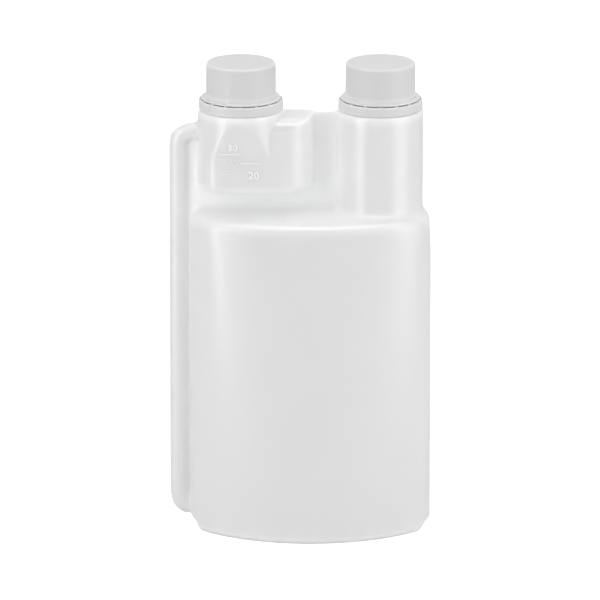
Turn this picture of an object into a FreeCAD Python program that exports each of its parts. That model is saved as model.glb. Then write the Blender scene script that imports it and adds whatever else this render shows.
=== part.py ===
"""Twin-neck dosing bottle: a blown reservoir with a duct, a dosing chamber and two capped necks.

Millimetres. +Z is up, +X runs from the duct to the main neck, the graduated side faces -Y. The origin
lies on the standing plane, under the middle of the overall width and depth.
"""

import FreeCAD, Part
import math
import os
import Sketcher

# ---------------------------------------------------------------- driving dimensions
SIZES = {
    # reservoir
    "body_width": 111.5,
    "body_depth": 70.0,
    "shoulder_height": 153.0,
    "wall": 1.0,
    "foot_side_flat": 1.5,
    "foot_corner_radius": 20.0,
    "top_side_flat": 17.0,
    "top_corner_radius": 20.0,
    "shoulder_rounding": 5.2,
    "foot_rounding": 3.0,
    "foot_recess": 1.0,
    "foot_land": 14.0,
    # duct
    "duct_diameter": 9.5,
    "duct_gap": 1.0,
    "duct_low_axis": 9.4,
    "duct_drop": 10.0,
    "duct_bend_radius": 7.5,
    # web
    "web_thickness": 2.4,
    "web_drop": 1.2,
    "web_rounding": 0.9,
    # necks
    "neck_spacing": 64.5,
    "column_height": 47.7,
    "neck_diameter": 26.6,
    "neck_wall": 1.8,
    "collar_step": 3.6,
    "collar_height": 3.5,
    "bead_step": 0.6,
    "bead_height": 2.3,
    "ledge_margin": 0.4,
    "ledge_rounding": 1.2,
    "ledge_thickness": 1.6,
    # threads
    "thread_lead": 4.2,
    "thread_depth": 1.2,
    "thread_root_width": 1.9,
    "thread_crest_width": 0.9,
    "thread_turns": 1.75,
    "thread_start": 8.6,
    "thread_root_bite": 0.3,
    # dosing chamber
    "chamber_lift": 9.4,
    "chamber_depth": 30.0,
    "chamber_reach": 34.0,
    "ridge_drop": 1.1,
    "roof_fall": 7.0,
    "chamber_rounding": 3.0,
    "chamber_corner": 2.4,
    "scoop_drop": 20.2,
    "scoop_height": 19.0,
    "scoop_out": 5.0,
    # closures
    "cap_height": 17.0,
    "cap_draft": 0.15,
    "cap_top_wall": 1.5,
    "cap_side_wall": 1.2,
    "cap_edge": 1.1,
    "flare_step": 2.2,
    "flare_height": 1.5,
    "flare_lip": 0.5,
    "flare_wall": 1.2,
    "band_height": 4.4,
    "band_wall": 1.3,
    "band_lip_height": 1.4,
    "band_edge": 0.4,
    "bridge_count": 16,
    "bridge_width": 1.3,
    "bridge_depth": 0.7,
    "slot_height": 0.4,
    "liner_thickness": 1.2,
    # clearances
    "thread_clearance": 0.5,
    "lip_clearance": 0.3,
    "bead_clearance": 0.7,
    "seat_clearance": 0.3,
    "ceiling_clearance": 0.1,
    "liner_clearance": 0.3,
}


class Size:
    """A length that carries both its spreadsheet expression and its present value."""

    def __init__(self, text, value):
        self.text = text
        self.value = value

    def _with(self, other, sign, work):
        if not isinstance(other, Size):
            other = Size(repr(other), other)
        return Size(f"({self.text} {sign} {other.text})", work(self.value, other.value))

    def __add__(self, other):
        return self._with(other, "+", lambda a, b: a + b)

    def __sub__(self, other):
        return self._with(other, "-", lambda a, b: a - b)

    def __mul__(self, other):
        return self._with(other, "*", lambda a, b: a * b)

    def __truediv__(self, other):
        return self._with(other, "/", lambda a, b: a / b)

    def __neg__(self):
        return Size(f"(-1 * {self.text})", -self.value)


doc = FreeCAD.newDocument("dosing_bottle")
sheet = doc.addObject("Spreadsheet::Sheet", "Sizes")
for row, (alias, number) in enumerate(SIZES.items(), start=1):
    sheet.set(f"A{row}", alias)
    sheet.set(f"B{row}", str(number))
    sheet.setAlias(f"B{row}", alias)
doc.recompute()


def size(alias):
    return Size(f"Sizes.{alias}", SIZES[alias])


NOTHING = Size("0", 0.0)


# ---------------------------------------------------------------- helpers
def bind(thing, prop, value):
    thing.setExpression(prop, value.text)


def body_at(name, x=None):
    body = doc.addObject("PartDesign::Body", name)
    body.Label = name
    if x is not None:
        bind(body, "Placement.Base.x", x)
    return body


def origin_item(body, role):
    return next(f for f in body.Origin.OriginFeatures if f.Role == role)


def sketch_on(body, name, role, lift=None):
    sketch = body.newObject("Sketcher::SketchObject", name)
    sketch.AttachmentSupport = (origin_item(body, role), [""])
    sketch.MapMode = "FlatFace"
    if lift is not None:
        bind(sketch, "AttachmentOffset.Base.z", lift)
    return sketch


def hold(sketch, kind, where, value):
    """Add a dimension whose value follows the spreadsheet."""
    index = sketch.addConstraint(Sketcher.Constraint(kind, *where, value.value))
    label = f"d{index}"
    sketch.renameConstraint(index, label)
    bind(sketch, f"Constraints.{label}", value)


def pin_point(sketch, geo, end, u, v):
    """Hold one end of an edge at (u, v); a zero ties it to the sketch's axis."""
    for kind, axis, value in (("DistanceX", -2, u), ("DistanceY", -1, v)):
        if value is NOTHING:
            sketch.addConstraint(Sketcher.Constraint("PointOnObject", geo, end, axis))
        else:
            hold(sketch, kind, (-1, 1, geo, end), value)


def outline(sketch, points):
    """A closed polygon through (u, v) points given as sizes."""
    vectors = [FreeCAD.Vector(u.value, v.value, 0) for u, v in points]
    first = sketch.GeometryCount
    count = len(points)
    for i in range(count):
        sketch.addGeometry(Part.LineSegment(vectors[i], vectors[(i + 1) % count]))
    for i in range(count):
        after = first + (i + 1) % count
        sketch.addConstraint(Sketcher.Constraint("Coincident", first + i, 2, after, 1))
    for i, (u, v) in enumerate(points):
        pin_point(sketch, first + i, 1, u, v)


def edges_where(shape, test):
    return [f"Edge{i}" for i, edge in enumerate(shape.Edges, start=1) if test(edge)]


def round_edges(body, name, radius, test):
    """Fillet the edges of the body's tip that pass the test."""
    doc.recompute()
    base = body.Tip
    names = edges_where(base.Shape, test)
    if not names:
        raise RuntimeError(f"{body.Label}: no edge for {name}")
    fillet = body.newObject("PartDesign::Fillet", name)
    fillet.Base = (base, names)
    bind(fillet, "Radius", radius)
    return fillet


def lathe(body, name, points):
    """Turn a profile of (radius, height) points about the body's vertical axis."""
    sketch = sketch_on(body, f"{name}_profile", "XZ_Plane")
    outline(sketch, points)
    turned = body.newObject("PartDesign::Revolution", name)
    turned.Profile = sketch
    turned.ReferenceAxis = (sketch, ["V_Axis"])
    turned.Angle = 360
    return turned


def level(edge, height, slack=1e-3):
    box = edge.BoundBox
    return abs(box.ZMin - height.value) < slack and abs(box.ZMax - height.value) < slack


# ---------------------------------------------------------------- derived places
body_x = (size("duct_diameter") + size("duct_gap")) / 2
half_width = size("body_width") / 2
half_depth = size("body_depth") / 2
body_left = body_x - half_width
duct_x = body_left - size("duct_gap") - size("duct_diameter") / 2
dosing_x = body_x - size("neck_spacing") / 2
main_x = body_x + size("neck_spacing") / 2

neck_radius = size("neck_diameter") / 2
bore_radius = neck_radius - size("neck_wall")
thread_radius = neck_radius + size("thread_depth")
collar_radius = neck_radius + size("collar_step")
bead_radius = collar_radius + size("bead_step")
band_bore = bead_radius + size("bead_clearance")
band_radius = band_bore + size("band_wall")
column_radius = band_radius + size("ledge_margin")
cap_bore = thread_radius + size("thread_clearance")
cap_radius = cap_bore + size("cap_side_wall")

shoulder = size("shoulder_height")
ledge = shoulder + size("column_height")
chamber_floor = shoulder + size("chamber_lift")
chamber_ridge = ledge - size("ridge_drop")
scoop_foot = ledge - size("scoop_drop")
duct_high = ledge - size("duct_drop")
web_top = ledge - size("web_drop")
band_foot = ledge + size("seat_clearance")
band_top = band_foot + size("band_height")
cap_foot = band_top + size("slot_height")
cap_top = cap_foot + size("cap_height")
cap_ceiling = cap_top - size("cap_top_wall")
rim = cap_ceiling - size("ceiling_clearance") - size("liner_thickness")
thread_middle = ledge + size("thread_start")


# ---------------------------------------------------------------- reservoir
def bow_over(flat, corner):
    """Radius of the bow that meets corners of one radius at the ends of the straight sides."""
    across = half_width - corner
    ahead = half_depth - flat / 2
    return (across * across + ahead * ahead - corner * corner) / ((ahead - corner) * 2)


def lean(bow, corner):
    """Sine of the direction where the bow hands over to the corner."""
    return (half_width - corner) / (bow - corner)


low_corner, high_corner = size("foot_corner_radius"), size("top_corner_radius")
low_bow = bow_over(size("foot_side_flat"), low_corner)
high_bow = bow_over(size("top_side_flat"), high_corner)
lean_low = lean(low_bow, low_corner)
lean_high = lean(high_bow, high_corner)


def plan(body, name, height, inset, bow, corner):
    """Plan of the reservoir: bowed front and back, rounded corners, short straight sides.

    Both plans change edge at the same two directions, so the faces between them meet smoothly.
    """
    sketch = sketch_on(body, name, "XY_Plane", height)
    a = half_width - inset
    bow_radius = bow - inset
    corner_radius = corner - inset
    corner_x = half_width - corner
    drop = bow - half_depth
    hand_over = lean(bow, corner).value
    corner_y = (bow - corner).value * math.sqrt(1 - hand_over**2) - drop.value

    # edges from the middle of the front to the middle of the right side, by direction
    turns = [math.asin(lean_high.value), math.asin(lean_low.value)]
    late_hand_over = turns[1] <= math.asin(hand_over) + 1e-9

    def arc(quadrant, bowed, start, end):
        """An arc between two directions measured from the front, carried to its quadrant."""
        sx, sy = quadrant
        centre = (0.0, drop.value) if bowed else (corner_x.value, -corner_y)
        radius = bow_radius.value if bowed else corner_radius.value
        ends = []
        for turn in (start, end):
            x = centre[0] + radius * math.sin(turn)
            y = centre[1] - radius * math.cos(turn)
            ends.append((sx * x, sy * y))
        centre = FreeCAD.Vector(sx * centre[0], sy * centre[1], 0)
        angles = [math.atan2(y - centre.y, x - centre.x) for x, y in ends]
        if sx * sy < 0:
            angles.reverse()
        if angles[1] < angles[0]:
            angles[1] += 2 * math.pi
        circle = Part.Circle(centre, FreeCAD.Vector(0, 0, 1), radius)
        return sketch.addGeometry(Part.ArcOfCircle(circle, angles[0], angles[1]))

    def middle(sy):
        return arc((1, sy), True, -turns[0], turns[0])

    def side(sx):
        ends = [FreeCAD.Vector(sx * a.value, sy * corner_y, 0) for sy in (-sx, sx)]
        return sketch.addGeometry(Part.LineSegment(*ends))

    def corner_arcs(quadrant):
        first = arc(quadrant, late_hand_over, turns[0], turns[1])
        second = arc(quadrant, False, turns[1], math.pi / 2)
        return first, second

    front = middle(1)
    right_front = corner_arcs((1, 1))
    right = side(1)
    right_back = corner_arcs((1, -1))
    back = middle(-1)
    left_back = corner_arcs((-1, -1))
    left = side(-1)
    left_front = corner_arcs((-1, 1))
    ring = [front, *right_front, right, *reversed(right_back)]
    ring += [back, *left_back, left, *reversed(left_front)]
    for one, two in zip(ring, ring[1:] + ring[:1]):
        sketch.addConstraint(Sketcher.Constraint("Tangent", one, 2, two, 1))
    for line, place in ((right, a), (left, -a)):
        sketch.addConstraint(Sketcher.Constraint("Vertical", line))
        hold(sketch, "DistanceX", (-1, 1, line, 1), place)
    for curve, place in ((front, drop), (back, -drop)):
        sketch.addConstraint(Sketcher.Constraint("PointOnObject", curve, 3, -2))
        hold(sketch, "DistanceY", (-1, 1, curve, 3), place)
        hold(sketch, "Radius", (curve,), bow_radius)
    for sx, (first, second), end in (
        (1, right_front, 2),
        (1, right_back, 1),
        (-1, left_back, 2),
        (-1, left_front, 1),
    ):
        hold(sketch, "Radius", (second,), corner_radius)
        hold(sketch, "Radius", (first,), bow_radius if late_hand_over else corner_radius)
        if late_hand_over:
            split, where = bow_radius * lean_high, (first, 3 - end)
        else:
            split, where = corner_x + corner_radius * lean_low, (first, end)
        hold(sketch, "DistanceX", (-1, 1, *where), split if sx > 0 else -split)
    return sketch


def reservoir(name, inset, foot):
    body = body_at(name, body_x)
    top = shoulder - inset
    low = plan(body, f"{name}_foot_plan", foot, inset, low_bow, low_corner)
    high = plan(body, f"{name}_top_plan", top, inset, high_bow, high_corner)
    loft = body.newObject("PartDesign::AdditiveLoft", f"{name}_loft")
    loft.Profile = high
    loft.Sections = [low]
    loft.Ruled = True
    round_edges(body, f"{name}_shoulder", size("shoulder_rounding") - inset, lambda e: level(e, top))
    round_edges(body, f"{name}_foot", size("foot_rounding") - inset, lambda e: level(e, foot))
    return body


outer_body = reservoir("outer_reservoir", NOTHING, NOTHING)
inner_body = reservoir("inner_reservoir", size("wall"), size("foot_recess") + size("wall"))

def pocket_through(body, name, sketch):
    """Cut a profile through the whole body, both ways from its plane."""
    pocket = body.newObject("PartDesign::Pocket", name)
    pocket.Profile = sketch
    pocket.Type = 1
    pocket.Midplane = True
    return pocket


def pad(body, name, sketch, length, both_ways=False):
    grown = body.newObject("PartDesign::Pad", name)
    grown.Profile = sketch
    bind(grown, "Length", length)
    grown.Midplane = both_ways
    return grown


outer_reservoir = reservoir("outer_reservoir", NOTHING, NOTHING)
inner_reservoir = reservoir("inner_reservoir", size("wall"), size("foot_recess") + size("wall"))

# the shallow panel in the foot that leaves a standing ring
foot_panel = body_at("foot_panel", body_x)
panel_plan = plan(
    foot_panel, "foot_panel_plan", NOTHING, size("foot_land"), low_bow, low_corner
)
pad(foot_panel, "foot_panel_pad", panel_plan, size("foot_recess"))


# ---------------------------------------------------------------- dosing chamber
def chamber_block(name, inset):
    """The flat-sided part of the chamber with its half-round end and domed roof."""
    body = body_at(name, dosing_x)
    half = size("chamber_depth") / 2
    drum = column_radius - inset
    end = half - inset
    end_x = size("chamber_reach") - half
    sketch = sketch_on(body, f"{name}_plan", "XY_Plane", chamber_floor + inset)
    back_x = -math.sqrt(drum.value**2 - end.value**2)
    up = FreeCAD.Vector(0, 0, 1)
    turn = math.atan2(end.value, back_x)
    low = sketch.addGeometry(
        Part.LineSegment(
            FreeCAD.Vector(back_x, -end.value, 0), FreeCAD.Vector(end_x.value, -end.value, 0)
        )
    )
    circle = Part.Circle(FreeCAD.Vector(end_x.value, 0, 0), up, end.value)
    tip = sketch.addGeometry(Part.ArcOfCircle(circle, -math.pi / 2, math.pi / 2))
    high = sketch.addGeometry(
        Part.LineSegment(
            FreeCAD.Vector(end_x.value, end.value, 0), FreeCAD.Vector(back_x, end.value, 0)
        )
    )
    circle = Part.Circle(FreeCAD.Vector(0, 0, 0), up, drum.value)
    round_back = sketch.addGeometry(Part.ArcOfCircle(circle, turn, 2 * math.pi - turn))
    add = sketch.addConstraint
    add(Sketcher.Constraint("Tangent", low, 2, tip, 1))
    add(Sketcher.Constraint("Tangent", tip, 2, high, 1))
    add(Sketcher.Constraint("Coincident", high, 2, round_back, 1))
    add(Sketcher.Constraint("Coincident", round_back, 2, low, 1))
    add(Sketcher.Constraint("Horizontal", low))
    add(Sketcher.Constraint("Horizontal", high))
    add(Sketcher.Constraint("PointOnObject", tip, 3, -1))
    add(Sketcher.Constraint("Coincident", round_back, 3, -1, 1))
    hold(sketch, "DistanceX", (-1, 1, tip, 3), end_x)
    hold(sketch, "Radius", (tip,), end)
    hold(sketch, "Radius", (round_back,), drum)
    ridge = chamber_ridge - inset * 1.1
    pad(body, f"{name}_pad", sketch, ridge - chamber_floor - inset)

    over = half + column_radius * 2
    brow = (half * 0.55, ridge - size("roof_fall") * 0.2)
    cheek = (half * 0.85, ridge - size("roof_fall") * 0.5)
    eave = ridge - size("roof_fall") * (column_radius * 20 / half / 3 + 1)
    above = ridge + column_radius * 2
    slope = [brow, cheek, (over, eave), (over, above)]
    roof = sketch_on(body, f"{name}_roof_profile", "YZ_Plane")
    outline(roof, [(NOTHING, ridge), *slope, *[(-u, v) for u, v in reversed(slope)]])
    pocket_through(body, f"{name}_roof", roof)
    floor = chamber_floor + inset
    corner = size("chamber_corner") - inset

    def upright_corner(edge):
        box = edge.BoundBox
        return box.XMax < 0 and box.DiagonalLength > 10 and abs(box.XMax - box.XMin) < 1e-3

    round_edges(body, f"{name}_corners", corner, upright_corner)
    round_edges(body, f"{name}_foot", size("chamber_rounding") - inset, lambda e: level(e, floor))
    return body


outer_block = chamber_block("outer_chamber", NOTHING)
inner_block = chamber_block("inner_chamber", size("wall"))


# ---------------------------------------------------------------- necks
def finish_points(foot):
    """Outside of a round neck: column, ledge, collar with bead, and thread land."""
    bead = ledge + size("bead_height")
    crown = ledge + size("collar_height")
    return [
        (NOTHING, foot),
        (column_radius, foot),
        (column_radius, ledge),
        (collar_radius, ledge),
        (collar_radius, bead),
        (bead_radius, bead),
        (bead_radius, crown - size("bead_step")),
        (collar_radius, crown),
        (neck_radius, crown),
        (neck_radius, rim),
        (NOTHING, rim),
    ]


def bore_points(foot):
    """Inside of a round neck, running out above the rim."""
    under = ledge - size("ledge_thickness")
    inside = column_radius - size("wall")
    over = rim + size("cap_height")
    return [
        (NOTHING, foot),
        (inside, foot),
        (inside, under - size("ledge_thickness")),
        (inside - size("ledge_thickness"), under),
        (bore_radius, under),
        (bore_radius, over),
        (NOTHING, over),
    ]


def thread(body, name, root, crest, middle):
    """A right-handed helical rib from a root radius to a crest radius, its root sunk in the wall."""
    sunk = size("thread_root_bite") if crest.value < root.value else -size("thread_root_bite")
    root_half, crest_half = size("thread_root_width") / 2, size("thread_crest_width") / 2
    sketch = sketch_on(body, f"{name}_profile", "XZ_Plane")
    points = [
        (root + sunk, middle - root_half),
        (crest, middle - crest_half),
        (crest, middle + crest_half),
        (root + sunk, middle + root_half),
    ]
    outline(sketch, points)
    helix = body.newObject("PartDesign::AdditiveHelix", name)
    helix.Profile = sketch
    helix.ReferenceAxis = (sketch, ["V_Axis"])
    helix.Mode = 1
    bind(helix, "Pitch", size("thread_lead"))
    bind(helix, "Turns", size("thread_turns"))
    helix.LeftHanded = False
    helix.Reversed = False
    return helix


def scoop(body, name, inset):
    """Flatten the front and back of the drum, leaning out towards the ledge."""
    near = size("chamber_depth") / 2 - inset
    foot = scoop_foot
    top = foot + size("scoop_height")
    far = near + size("scoop_out")
    clear = far + column_radius * 2
    below = foot - column_radius * 2
    gain = column_radius * 2 / size("scoop_out") * size("scoop_height")
    sketch = sketch_on(body, f"{name}_profile", "YZ_Plane")
    lean_top = (near + column_radius * 2, foot + gain)
    right = [(near, below), (clear, below), lean_top, (near, foot)]
    left = [(-u, v) for u, v in reversed(right)]
    outline(sketch, right)
    outline(sketch, left)
    return pocket_through(body, name, sketch)


def main_neck():
    outer = body_at("outer_main_neck", main_x)
    foot = shoulder - size("shoulder_rounding") * 2
    lathe(outer, "outer_main_turning", finish_points(foot))
    inner = body_at("inner_main_neck", main_x)
    lathe(inner, "inner_main_turning", bore_points(foot))
    return outer, inner


def dosing_neck():
    outer = body_at("outer_dosing_neck", dosing_x)
    foot = scoop_foot
    lathe(outer, "outer_dosing_turning", finish_points(foot))
    scoop(outer, "outer_scoop", NOTHING)
    inner = body_at("inner_dosing_neck", dosing_x)
    lathe(inner, "inner_dosing_turning", bore_points(foot - size("wall")))
    scoop(inner, "inner_scoop", size("wall"))
    return outer, inner


def ledge_edge(edge):
    centre = getattr(edge.Curve, "Center", None)
    return level(edge, ledge) and abs(edge.Curve.Radius - column_radius.value) < 1e-3


outer_main, inner_main = main_neck()
outer_dosing, inner_dosing = dosing_neck()
for neck in (outer_main, outer_dosing):
    round_edges(neck, f"{neck.Label}_ledge", size("ledge_rounding"), ledge_edge)
    thread(neck, f"{neck.Label}_thread", neck_radius, thread_radius, thread_middle)


# ---------------------------------------------------------------- duct
def duct(name, radius):
    """A round tube from the foot of the reservoir up its side and over into the chamber."""
    body = body_at(name)
    bend = size("duct_bend_radius")
    low, high = size("duct_low_axis"), duct_high
    turn_x = duct_x + bend
    path = sketch_on(body, f"{name}_path", "XZ_Plane")
    start = (dosing_x - bore_radius, high)
    stop = (turn_x + size("wall") * 3, low)
    spots = [start, (turn_x, high), (duct_x, high - bend), (duct_x, low + bend), (turn_x, low), stop]
    points = [FreeCAD.Vector(u.value, v.value, 0) for u, v in spots]
    centre_high = FreeCAD.Vector(turn_x.value, (high - bend).value, 0)
    centre_low = FreeCAD.Vector(turn_x.value, (low + bend).value, 0)
    up = FreeCAD.Vector(0, 0, 1)
    over = path.addGeometry
    first = over(Part.LineSegment(points[0], points[1]))
    bend_high = over(
        Part.ArcOfCircle(Part.Circle(centre_high, up, bend.value), math.pi / 2, math.pi)
    )
    riser = over(Part.LineSegment(points[2], points[3]))
    bend_low = over(
        Part.ArcOfCircle(Part.Circle(centre_low, up, bend.value), math.pi, 3 * math.pi / 2)
    )
    last = over(Part.LineSegment(points[4], points[5]))
    add = path.addConstraint
    add(Sketcher.Constraint("Tangent", first, 2, bend_high, 1))
    add(Sketcher.Constraint("Tangent", bend_high, 2, riser, 1))
    add(Sketcher.Constraint("Tangent", riser, 2, bend_low, 1))
    add(Sketcher.Constraint("Tangent", bend_low, 2, last, 1))
    add(Sketcher.Constraint("Horizontal", first))
    add(Sketcher.Constraint("Vertical", riser))
    add(Sketcher.Constraint("Horizontal", last))
    hold(path, "Radius", (bend_high,), bend)
    hold(path, "Radius", (bend_low,), bend)
    pin_point(path, first, 1, *start)
    hold(path, "DistanceX", (-1, 1, riser, 1), duct_x)
    pin_point(path, last, 2, *stop)
    ring = sketch_on(body, f"{name}_ring", "YZ_Plane", start[0])
    circle = Part.Circle(FreeCAD.Vector(0, high.value, 0), up, radius.value)
    round_edge = ring.addGeometry(circle)
    ring.addConstraint(Sketcher.Constraint("PointOnObject", round_edge, 3, -2))
    hold(ring, "DistanceY", (-1, 1, round_edge, 3), high)
    hold(ring, "Radius", (round_edge,), radius)
    pipe = body.newObject("PartDesign::AdditivePipe", f"{name}_pipe")
    pipe.Profile = ring
    pipe.Spine = (path, ["Edge1", "Edge2", "Edge3", "Edge4", "Edge5"])
    return body


outer_duct = duct("outer_duct", size("duct_diameter") / 2)
inner_duct = duct("inner_duct", size("duct_diameter") / 2 - size("wall"))


# ---------------------------------------------------------------- web
web = body_at("pinch_web")
web_plan = sketch_on(web, "pinch_web_profile", "XZ_Plane")
bend_radius = size("duct_bend_radius")
outline(
    web_plan,
    [
        (duct_x, size("duct_low_axis") + bend_radius),
        (duct_x + bend_radius, size("duct_low_axis")),
        (main_x, size("duct_low_axis")),
        (main_x, web_top),
        (dosing_x, web_top),
        (dosing_x, duct_high),
        (duct_x + bend_radius, duct_high),
        (duct_x, duct_high - bend_radius),
    ],
)
pad(web, "pinch_web_pad", web_plan, size("web_thickness"), both_ways=True)
round_edges(
    web,
    "pinch_web_top",
    size("web_rounding"),
    lambda e: level(e, web_top) and e.BoundBox.XLength > 20,
)


# ---------------------------------------------------------------- bottle
def fuse(name, shapes):
    joined = doc.addObject("Part::MultiFuse", name)
    joined.Shapes = shapes
    joined.Refine = False
    return joined


def cut(name, base, tool):
    result = doc.addObject("Part::Cut", name)
    result.Base = base
    result.Tool = tool
    result.Refine = False
    return result


outside = fuse(
    "outside", [outer_reservoir, outer_block, outer_main, outer_dosing, outer_duct, web]
)
inside = fuse(
    "inside", [inner_reservoir, inner_block, inner_main, inner_dosing, inner_duct, foot_panel]
)
bottle = cut("bottle", outside, inside)


# ---------------------------------------------------------------- closures
def liner(name, x):
    """The wad in the roof of a cap, resting on the rim."""
    body = body_at(name, x)
    radius = cap_bore - size("liner_clearance")
    top = rim + size("liner_thickness")
    lathe(body, f"{name}_disc", [(NOTHING, rim), (radius, rim), (radius, top), (NOTHING, top)])
    return body


def cap(name, x):
    """A plain round cap: drafted side, rounded top edge, flared foot, thread inside."""
    body = body_at(name, x)
    lip = cap_foot + size("flare_lip")
    flare = cap_radius + size("flare_step")
    across = size("flare_step") * 0.85
    upward = size("flare_height") - size("flare_lip")
    hollow = []
    for step in (3, 2, 1, 0):
        turn = math.radians(30 * step)
        out, rise = round(1 - math.cos(turn), 4), round(1 - math.sin(turn), 4)
        hollow.append((cap_radius + across * out, lip + upward * rise))
    points = [
        (flare - size("flare_wall"), cap_foot),
        (flare, cap_foot),
        (flare, lip),
        *hollow,
        (cap_radius - size("cap_draft"), cap_top),
        (NOTHING, cap_top),
        (NOTHING, cap_ceiling),
        (cap_bore, cap_ceiling),
        (cap_bore, cap_foot + size("flare_height") / 2),
    ]
    lathe(body, f"{name}_turning", points)

    def crown(edge):
        radius = getattr(edge.Curve, "Radius", 0)
        return level(edge, cap_top) and radius > cap_bore.value

    round_edges(body, f"{name}_crown", size("cap_edge"), crown)
    crest = cap_bore - size("thread_depth")
    thread(body, f"{name}_thread", cap_bore, crest, thread_middle + size("thread_lead") / 2)
    return body


def band(name, x):
    """The tamper ring under a cap: an inward lip below, a row of bridges on top."""
    body = body_at(name, x)
    lip = collar_radius + size("lip_clearance")
    lip_top = band_foot + size("band_lip_height")
    lathe(
        body,
        f"{name}_ring",
        [
            (lip, band_foot),
            (band_radius, band_foot),
            (band_radius, band_top),
            (band_bore, band_top),
            (band_bore, lip_top + band_bore - lip),
            (lip, lip_top),
        ],
    )

    def outer_rim(edge):
        radius = getattr(edge.Curve, "Radius", 0)
        return abs(radius - band_radius.value) < 1e-3 and edge.BoundBox.ZLength < 1e-3

    round_edges(body, f"{name}_rims", size("band_edge"), outer_rim)
    sketch = sketch_on(body, f"{name}_bridge_plan", "XY_Plane", band_top - size("bridge_depth"))
    half = size("bridge_width") / 2
    near, far = band_bore - size("bridge_depth"), band_bore + size("bridge_depth")
    outline(sketch, [(near, -half), (far, -half), (far, half), (near, half)])
    bridge = pad(body, f"{name}_bridge", sketch, size("bridge_depth") + size("slot_height"))
    row = body.newObject("PartDesign::PolarPattern", f"{name}_bridges")
    row.Originals = [bridge]
    row.Axis = (sketch, ["N_Axis"])
    row.Angle = 360
    bind(row, "Occurrences", size("bridge_count"))
    body.Tip = row
    return body


dosing_liner = liner("dosing_cap_liner", dosing_x)
main_liner = liner("main_cap_liner", main_x)
dosing_cap = cap("dosing_cap", dosing_x)
main_cap = cap("main_cap", main_x)
dosing_band = band("dosing_band", dosing_x)
main_band = band("main_band", main_x)


# ---------------------------------------------------------------- export
doc.recompute()
for thing in doc.Objects:
    if "Invalid" in thing.State or "Error" in thing.State:
        raise RuntimeError(f"{thing.Label}: {thing.State}")
    shape = getattr(thing, "Shape", None)
    if shape is not None and (shape.isNull() or not shape.isValid()):
        raise RuntimeError(f"{thing.Label}: bad shape")

os.makedirs("parts", exist_ok=True)
for node in (bottle, dosing_liner, main_liner, dosing_cap, main_cap, dosing_band, main_band):
    if len(node.Shape.Solids) != 1:
        raise RuntimeError(f"{node.Label}: {len(node.Shape.Solids)} solids")
    node.Shape.exportStep(f"parts/{node.Label}.step")
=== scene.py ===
import math

import bpy
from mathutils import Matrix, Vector


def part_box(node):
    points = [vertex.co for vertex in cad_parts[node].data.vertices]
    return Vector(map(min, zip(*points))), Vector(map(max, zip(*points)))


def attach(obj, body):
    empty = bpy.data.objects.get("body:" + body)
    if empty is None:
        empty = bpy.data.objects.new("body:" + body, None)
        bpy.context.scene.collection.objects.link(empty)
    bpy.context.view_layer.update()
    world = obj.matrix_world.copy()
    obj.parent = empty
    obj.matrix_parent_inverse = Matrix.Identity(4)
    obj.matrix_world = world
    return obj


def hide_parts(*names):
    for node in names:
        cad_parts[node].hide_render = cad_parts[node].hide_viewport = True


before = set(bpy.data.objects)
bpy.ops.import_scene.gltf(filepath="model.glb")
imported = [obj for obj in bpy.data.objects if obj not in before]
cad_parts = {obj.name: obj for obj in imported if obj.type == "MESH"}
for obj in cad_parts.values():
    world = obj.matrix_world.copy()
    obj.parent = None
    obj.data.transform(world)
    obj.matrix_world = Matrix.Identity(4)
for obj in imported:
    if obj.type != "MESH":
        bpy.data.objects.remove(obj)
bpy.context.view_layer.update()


# ---------------------------------------------------------------- view
# A long lens five metres off, looking a little down on the graduated side of the bottle.
# The lens is long enough that the bottle's uprights stay parallel.

aim = Vector((0.0003, 0.0, 0.1086))
look_down = math.radians(15.3)
away = 5.0
back = Vector((0.0, -math.cos(look_down), math.sin(look_down)))
bpy.ops.object.camera_add(location=aim + back * away)
camera = bpy.context.object
camera.rotation_euler = (math.pi / 2 - look_down, 0.0, 0.0)
camera.data.lens = 645
camera.data.sensor_width = 36
camera.data.clip_start = 0.1
camera.data.clip_end = 60
bpy.context.scene.camera = camera


# ---------------------------------------------------------------- studio
# A white table with a white wall behind it, a pale room, a slim soft panel on each side of the
# bottle and one straight above it. Light bounces on freely in the hollows.

scene = bpy.context.scene
scene.view_settings.view_transform = "Standard"
bounces = 24
scene.cycles.max_bounces = bounces
scene.cycles.diffuse_bounces = bounces
matt_white = (0.8, 0.8, 0.8)


def backdrop_white(name, colour, to_lens, to_gloss):
    """A matt surface that the lens and gloss see as white, and that still takes a shadow."""
    material = bpy.data.materials.new(name)
    material.use_nodes = True
    nodes, links = material.node_tree.nodes, material.node_tree.links
    surface = nodes["Principled BSDF"]
    surface.inputs["Base Color"].default_value = (*colour, 1)
    surface.inputs["Roughness"].default_value = 0.9
    surface.inputs["Specular IOR Level"].default_value = 0.0
    surface.inputs["Emission Color"].default_value = (1, 1, 1, 1)
    path = nodes.new("ShaderNodeLightPath")
    total = nodes.new("ShaderNodeMath")
    total.operation = "ADD"
    for share, ray, socket in zip(
        (to_lens, to_gloss), ("Is Camera Ray", "Is Glossy Ray"), total.inputs
    ):
        scale = nodes.new("ShaderNodeMath")
        scale.operation = "MULTIPLY"
        scale.inputs[1].default_value = share
        links.new(path.outputs[ray], scale.inputs[0])
        links.new(scale.outputs[0], socket)
    links.new(total.outputs[0], surface.inputs["Emission Strength"])
    return material


bpy.ops.mesh.primitive_plane_add(size=8.0, location=(0, 0, 0))
table = bpy.context.object
table.name = "table"
table.data.materials.append(backdrop_white("table_white", matt_white, 0.7, 0.0))

bpy.ops.mesh.primitive_plane_add(size=1.0, location=(0, 1.6, 1.0), rotation=(math.pi / 2, 0, 0))
wall = bpy.context.object
wall.name = "wall"
wall.scale = (1.9, 2.4, 1)
wall.data.materials.append(backdrop_white("wall_white", matt_white, 0.7, 0.75))

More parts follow.
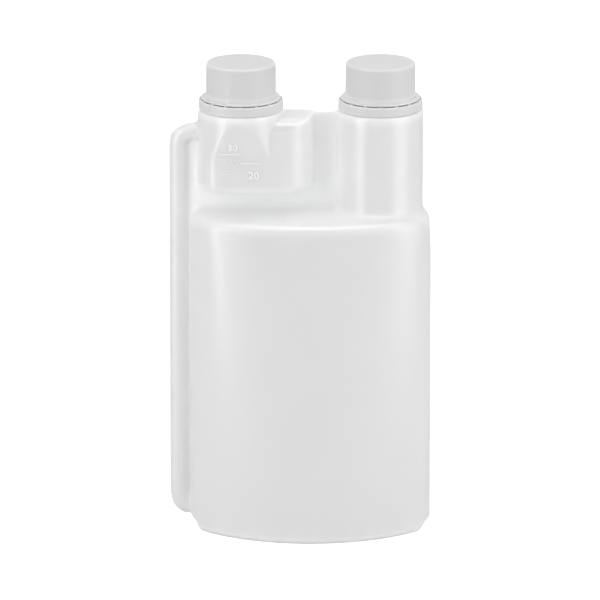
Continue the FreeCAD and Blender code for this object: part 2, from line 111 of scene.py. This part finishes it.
world = bpy.data.worlds.new("studio")
scene.world = world
world.use_nodes = True
nodes, links = world.node_tree.nodes, world.node_tree.links
room = nodes["Background"]
room.inputs["Color"].default_value = (1, 1, 1, 1)
path = nodes.new("ShaderNodeLightPath")
level = nodes.new("ShaderNodeMapRange")
level.inputs["To Min"].default_value = 0.52
level.inputs["To Max"].default_value = 1.0
links.new(path.outputs["Is Camera Ray"], level.inputs["Value"])
links.new(level.outputs["Result"], room.inputs["Strength"])


def soft_light(name, place, turn, width, height, watts):
    """A soft panel that lights the bottle and that the lens doesn't see."""
    bpy.ops.object.light_add(type="AREA", location=place, rotation=turn)
    panel = bpy.context.object
    panel.name = name
    panel.data.shape = "RECTANGLE"
    panel.data.size = width
    panel.data.size_y = height
    panel.data.energy = watts
    panel.visible_camera = False


panel_away = 0.4
panel_height = 0.6
for name, bearing, width, watts in (
    ("left_panel", -52, 0.15, 0.74),
    ("right_panel", 59, 0.26, 0.79),
):
    turn = math.radians(bearing)
    place = (math.sin(turn) * panel_away, -math.cos(turn) * panel_away, panel_height / 2)
    soft_light(name, place, (math.pi / 2, 0, turn), width, panel_height, watts)
soft_light("overhead_panel", (0, 0, 1.4), (0, 0, 0), 0.9, 0.9, 5.8)


# ---------------------------------------------------------------- bottle
# Blown in one piece from natural polyethylene, milky and satin, with a wall of a millimetre.
# Every corner and joint is softly rounded, as the plastic stretched over them, but the neck
# finishes and the ledges under the bands are moulded sharp.

ledge_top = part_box("dosing_band")[0][2]
scoop_foot = ledge_top - 0.0215
shoulder = 0.153
body_left = -0.0505
body_right = 0.061
duct_width = 0.0095
duct_elbow = -0.048
joint_height = 0.013
foot_rim = 0.002
foot_edge = 0.004
cad_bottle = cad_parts["bottle"]


def merged_copy(node, name):
    """A copy of a CAD node with its triangles joined up, alone and selected, in edit mode."""
    bpy.ops.object.select_all(action="DESELECT")
    piece = bpy.data.objects.new(name, node.data.copy())
    scene.collection.objects.link(piece)
    piece.select_set(True)
    bpy.context.view_layer.objects.active = piece
    bpy.ops.mesh.customdata_custom_splitnormals_clear()
    bpy.ops.object.mode_set(mode="EDIT")
    bpy.ops.mesh.select_mode(type="VERT")
    bpy.ops.mesh.select_all(action="SELECT")
    bpy.ops.mesh.remove_doubles(threshold=1e-6)
    return piece


def soften(piece, chosen, times):
    """Relax the chosen part of a fine skin, which rounds its corners and fills its joints."""
    zone = piece.vertex_groups.new(name="zone")
    zone.add([v.index for v in piece.data.vertices if chosen(*v.co)], 1.0, "REPLACE")
    relax = piece.modifiers.new("relax", "SMOOTH")
    relax.factor = 0.5
    relax.iterations = times
    relax.vertex_group = zone.name
    bpy.ops.object.modifier_apply(modifier=relax.name)
    piece.vertex_groups.clear()


def nudge(piece, chosen, shift, reach):
    """Push the chosen part of a shell, both of its faces, by a shift that fades over a reach."""
    for vertex in piece.data.vertices:
        vertex.select = chosen(*vertex.co)
    bpy.ops.object.mode_set(mode="EDIT")
    bpy.ops.transform.translate(
        value=shift,
        use_proportional_edit=True,
        proportional_edit_falloff="SMOOTH",
        proportional_size=reach,
    )
    bpy.ops.mesh.select_all(action="DESELECT")
    bpy.ops.object.mode_set(mode="OBJECT")


seam = ledge_top + 0.0008
skin = merged_copy(cad_bottle, "bottle_skin")
bpy.ops.mesh.bisect(
    plane_co=(0, 0, seam), plane_no=(0, 0, 1), clear_outer=True, use_fill=True
)
bpy.ops.mesh.select_all(action="DESELECT")
bpy.ops.object.mode_set(mode="OBJECT")
fine = skin.modifiers.new("fine", "REMESH")
fine.mode = "VOXEL"
fine.voxel_size = 0.0005
bpy.ops.object.modifier_apply(modifier="fine")

# The whole skin first, then all of it but the foot and the ledges, then the lower part with
# the duct, and at last the joints above the shoulder.
soften(skin, lambda x, y, z: z < seam - 0.0004, 3)
soften(skin, lambda x, y, z: foot_edge < z < ledge_top - 0.0015, 16)
soften(skin, lambda x, y, z: foot_edge < z < scoop_foot or x < body_left + 0.003, 60)
soften(
    skin,
    lambda x, y, z: x > body_left and shoulder - 0.0005 < z < shoulder + joint_height,
    160,
)

triangles = 150000
lean = skin.modifiers.new("lean", "DECIMATE")
lean.ratio = triangles / (2 * len(skin.data.polygons))
bpy.ops.object.modifier_apply(modifier="lean")

# The blown shell droops at the shoulder's right end and over the duct. It is tucked up at
# both ends of the foot and in along the duct, and its ledges come up to meet the bands.
duct_top = max(v.co.z for v in skin.data.vertices if v.co.x < duct_elbow - 0.002)
pushes = (
    (
        lambda x, y, z: x > body_right - 0.0015 and z > shoulder - 0.008,
        (-0.0004, 0, -0.0020),
        0.008,
    ),
    (lambda x, y, z: x > body_right - 0.002 and z < foot_rim, (0, 0, 0.003), 0.006),
    (
        lambda x, y, z: body_left < x < body_left + 0.002 and z < foot_rim,
        (0, 0, 0.003),
        0.006,
    ),
    (lambda x, y, z: x < body_left - duct_width, (0.0005, 0, 0), 0.004),
    (lambda x, y, z: z > ledge_top - 0.0005, (0, 0, 0.0002), 0.001),
    (lambda x, y, z: x < duct_elbow and z > duct_top - 0.001, (0, 0, -0.0013), 0.009),
)
for chosen, shift, reach in pushes:
    nudge(skin, chosen, shift, reach)
bpy.ops.object.shade_smooth()

merged_copy(cad_bottle, "neck_finishes")
bpy.ops.mesh.bisect(
    plane_co=(0, 0, seam - 0.0002), plane_no=(0, 0, 1), clear_inner=True, use_fill=True
)
bpy.ops.object.mode_set(mode="OBJECT")
bpy.ops.object.shade_smooth_by_angle(angle=math.radians(35))
skin.select_set(True)
bpy.context.view_layer.objects.active = skin
bpy.ops.object.join()


def moulded(name, colour, roughness, shine, milkiness, depth, grain):
    """Moulded plastic: a faint cloudiness in the colour and a fine satin grain on the skin."""
    material = bpy.data.materials.new(name)
    material.use_nodes = True
    nodes, links = material.node_tree.nodes, material.node_tree.links
    surface = nodes["Principled BSDF"]
    surface.inputs["IOR"].default_value = 1.54
    surface.inputs["Specular IOR Level"].default_value = shine
    surface.inputs["Subsurface Weight"].default_value = milkiness
    surface.inputs["Subsurface Radius"].default_value = (1.0, 1.0, 1.0)
    surface.inputs["Subsurface Scale"].default_value = depth
    place = nodes.new("ShaderNodeTexCoord")
    cloud = nodes.new("ShaderNodeTexNoise")
    cloud.inputs["Scale"].default_value = 18
    cloud.inputs["Detail"].default_value = 2
    links.new(place.outputs["Object"], cloud.inputs["Vector"])
    tint = nodes.new("ShaderNodeValToRGB")
    tint.color_ramp.elements[0].position = 0.3
    tint.color_ramp.elements[1].position = 0.7
    tint.color_ramp.elements[0].color = (*[c * 0.985 for c in colour], 1)
    tint.color_ramp.elements[1].color = (*colour, 1)
    links.new(cloud.outputs["Fac"], tint.inputs["Fac"])
    links.new(tint.outputs["Color"], surface.inputs["Base Color"])
    wear = nodes.new("ShaderNodeMapRange")
    wear.inputs["To Min"].default_value = roughness - 0.03
    wear.inputs["To Max"].default_value = roughness + 0.03
    links.new(cloud.outputs["Fac"], wear.inputs["Value"])
    links.new(wear.outputs["Result"], surface.inputs["Roughness"])
    satin = nodes.new("ShaderNodeTexNoise")
    satin.inputs["Scale"].default_value = 1800
    satin.inputs["Detail"].default_value = 3
    links.new(place.outputs["Object"], satin.inputs["Vector"])
    bump = nodes.new("ShaderNodeBump")
    bump.name = "satin"
    bump.inputs["Strength"].default_value = grain
    bump.inputs["Distance"].default_value = 0.0001
    links.new(satin.outputs["Fac"], bump.inputs["Height"])
    links.new(bump.outputs["Normal"], surface.inputs["Normal"])
    return material


natural = (0.96, 0.963, 0.969)
bottle_plastic = moulded("bottle_polyethylene", natural, 0.32, 1.0, 1.0, 0.0025, 0.1)
skin.data.materials.clear()
skin.data.materials.append(bottle_plastic)
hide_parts("bottle")
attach(skin, "bottle")


# ---------------------------------------------------------------- graduations
# Raised marks on the front of the dosing chamber, moulded in one with the bottle: two numbers,
# three scale lines and an arrow. The lines stand a fifth of a millimetre proud and the numbers
# a third, and the upper ones lean out with the wall.

proud = 0.0002
number_proud = 0.00034
sunk = 0.0004
stroke = 0.0006
font_height = 0.7
front = -0.015
fold = ledge_top - 0.0202
lean_out = math.atan2(0.005, 0.019)


def on_wall(mark, x, z):
    """Stand a mark that was made lying flat on the chamber's front wall, at a place on it."""
    above = max(0.0, z - fold)
    mark.rotation_euler = (math.pi / 2 + (lean_out if above else 0.0), 0, 0)
    mark.location = (x, front - above * math.tan(lean_out), z)
    bpy.ops.object.transform_apply(location=True, rotation=True, scale=True)
    return mark


def raised_line(x, z, length):
    """A bar with softened edges that runs right from its place."""
    bpy.ops.mesh.primitive_cube_add(size=1, scale=(length, stroke, proud + sunk))
    line = bpy.context.object
    bpy.ops.object.transform_apply(scale=True)
    bpy.ops.object.mode_set(mode="EDIT")
    bpy.ops.transform.translate(value=(length / 2, 0, (proud - sunk) / 2))
    bpy.ops.mesh.bevel(offset=proud * 0.6, segments=3)
    bpy.ops.object.mode_set(mode="OBJECT")
    return on_wall(line, x, z)


def raised_number(text, x, z, height):
    """A number made at the font's own size, with rounded edges, and then shrunk."""
    shrink = height / font_height
    rounding = font_height / 20
    bpy.ops.object.text_add()
    number = bpy.context.object
    number.data.body = text
    number.data.extrude = (number_proud + sunk) / 2 / shrink - rounding
    number.data.bevel_depth = rounding
    number.data.bevel_resolution = 2
    bpy.ops.object.convert(target="MESH")
    bpy.ops.object.mode_set(mode="EDIT")
    bpy.ops.mesh.select_all(action="SELECT")
    bpy.ops.mesh.remove_doubles(threshold=0.0005)
    bpy.ops.object.mode_set(mode="OBJECT")
    number.scale = (shrink, shrink, shrink)
    number.location = (0, 0, (number_proud - sunk) / 2)
    bpy.ops.object.transform_apply(location=True, rotation=True, scale=True)
    return on_wall(number, x, z)


def raised_arrow(x, z, radius):
    """A rounded three-sided outline that points down."""
    bpy.ops.mesh.primitive_torus_add(
        major_segments=3,
        minor_segments=12,
        major_radius=radius,
        minor_radius=stroke / 2,
        rotation=(0, 0, -math.pi / 2),
    )
    arrow = bpy.context.object
    bpy.ops.object.transform_apply(rotation=True)
    return on_wall(arrow, x, z)


bpy.ops.object.select_all(action="DESELECT")
marks = [
    raised_number("30", -0.0330, 0.1845, 0.0030),
    raised_line(-0.0369, 0.1826, 0.0095),
    raised_arrow(-0.0299, 0.1783, 0.0024),
    raised_line(-0.0272, 0.1780, 0.0088),
    raised_line(-0.0366, 0.1728, 0.0042),
    raised_number("20", -0.0235, 0.1706, 0.0034),
]

# The marks go without milkiness, which turned pieces this small dark where they are sunk in.
mark_plastic = moulded("mark_polyethylene", natural, 0.32, 1.0, 0.0, 0.0025, 0.1)
for mark in marks:
    mark.select_set(True)
graduations = marks[0]
bpy.context.view_layer.objects.active = graduations
bpy.ops.object.join()
graduations.name = "graduations"
graduations.data.materials.clear()
graduations.data.materials.append(mark_plastic)
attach(graduations, "bottle")


# ---------------------------------------------------------------- caps and tamper bands
# Injection-moulded in satin polypropylene, a shade greyer than the bottle. Each band hangs
# from its cap on sixteen thin bridges and stays on the collar when they break. The flared
# foot of a cap's skirt is tinted paler: painted light on the flare. Where that light comes from
# is a guess.

cap_plastic = moulded("cap_polypropylene", (0.69, 0.69, 0.69), 0.42, 0.5, 1.0, 0.002, 0.1)
# Painted light: a paler grey is mixed into the cap's colour over the skirt's flared foot.
painted_light_colour = (0.86, 0.86, 0.86)
skirt_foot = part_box("dosing_cap")[0][2]
nodes, links = cap_plastic.node_tree.nodes, cap_plastic.node_tree.links
surface = nodes["Principled BSDF"]
place = nodes.new("ShaderNodeTexCoord")
height = nodes.new("ShaderNodeSeparateXYZ")
links.new(place.outputs["Object"], height.inputs["Vector"])
# Mask for the painted light: full at the skirt's foot, fading out over the three millimetres
# above it.
painted_light_mask = nodes.new("ShaderNodeMapRange")
painted_light_mask.inputs["From Min"].default_value = skirt_foot + 0.0004
painted_light_mask.inputs["From Max"].default_value = skirt_foot + 0.0034
painted_light_mask.inputs["To Min"].default_value = 1.0
painted_light_mask.inputs["To Max"].default_value = 0.0
links.new(height.outputs["Z"], painted_light_mask.inputs["Value"])
painted_light_mix = nodes.new("ShaderNodeMixRGB")
painted_light_mix.inputs["Color2"].default_value = (*painted_light_colour, 1)
links.new(painted_light_mask.outputs["Result"], painted_light_mix.inputs["Fac"])
links.new(surface.inputs["Base Color"].links[0].from_socket, painted_light_mix.inputs["Color1"])
links.new(painted_light_mix.outputs["Color"], surface.inputs["Base Color"])
band_plastic = moulded("band_polypropylene", (0.70, 0.70, 0.70), 0.42, 0.5, 1.0, 0.002, 0.1)
for name, plastic in (
    ("dosing_cap", cap_plastic),
    ("main_cap", cap_plastic),
    ("dosing_band", band_plastic),
    ("main_band", band_plastic),
):
    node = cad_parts[name]
    node.data.materials.clear()
    node.data.materials.append(plastic)


# ---------------------------------------------------------------- liners
# Punched from closed-cell polyethylene foam, and pressed into the roof of each cap, where the
# rim of the neck seals against them.

liner_foam = moulded("liner_foam", (0.86, 0.86, 0.85), 0.85, 0.3, 0.2, 0.001, 0.6)
for name in ("dosing_cap_liner", "main_cap_liner"):
    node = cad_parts[name]
    node.data.materials.clear()
    node.data.materials.append(liner_foam)
